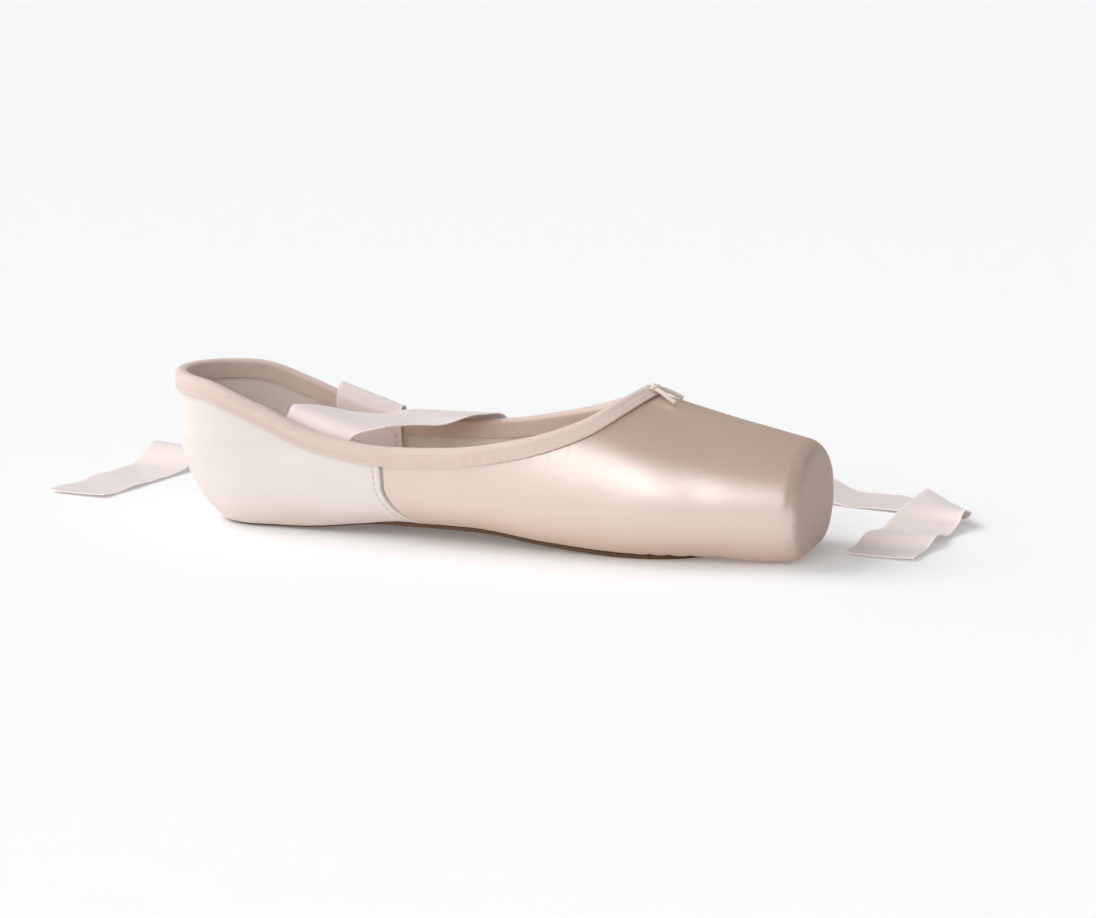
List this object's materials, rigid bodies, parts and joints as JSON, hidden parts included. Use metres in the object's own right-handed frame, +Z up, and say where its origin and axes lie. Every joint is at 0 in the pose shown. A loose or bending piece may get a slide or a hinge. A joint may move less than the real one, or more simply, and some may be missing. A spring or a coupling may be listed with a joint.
{
  "type": "demi-pointe shoe",
  "caption": "Soft-blocked ballet slipper with a bound collar, a short leather outsole and loose satin ribbons.",
  "frame": {"origin": "on the floor below the middle of the shoe's length and width, ribbons left out", "axes": "+X from heel to toe, +Y to the wearer's left, +Z up"},
  "size_m": [0.3435, 0.2025, 0.0579],
  "materials": {
    "satin": "satin",
    "binding": "matte",
    "cord": "matte",
    "ribbon": "satin",
    "canvas": "matte",
    "leather": "matte"
  },
  "bodies": {
    "root": {"outsole": "leather", "upper": "satin", "insole": "canvas", "binding": "binding", "drawstring": "cord", "ribbon_right": "ribbon", "ribbon_left": "ribbon"}
  },
  "joints": []
}
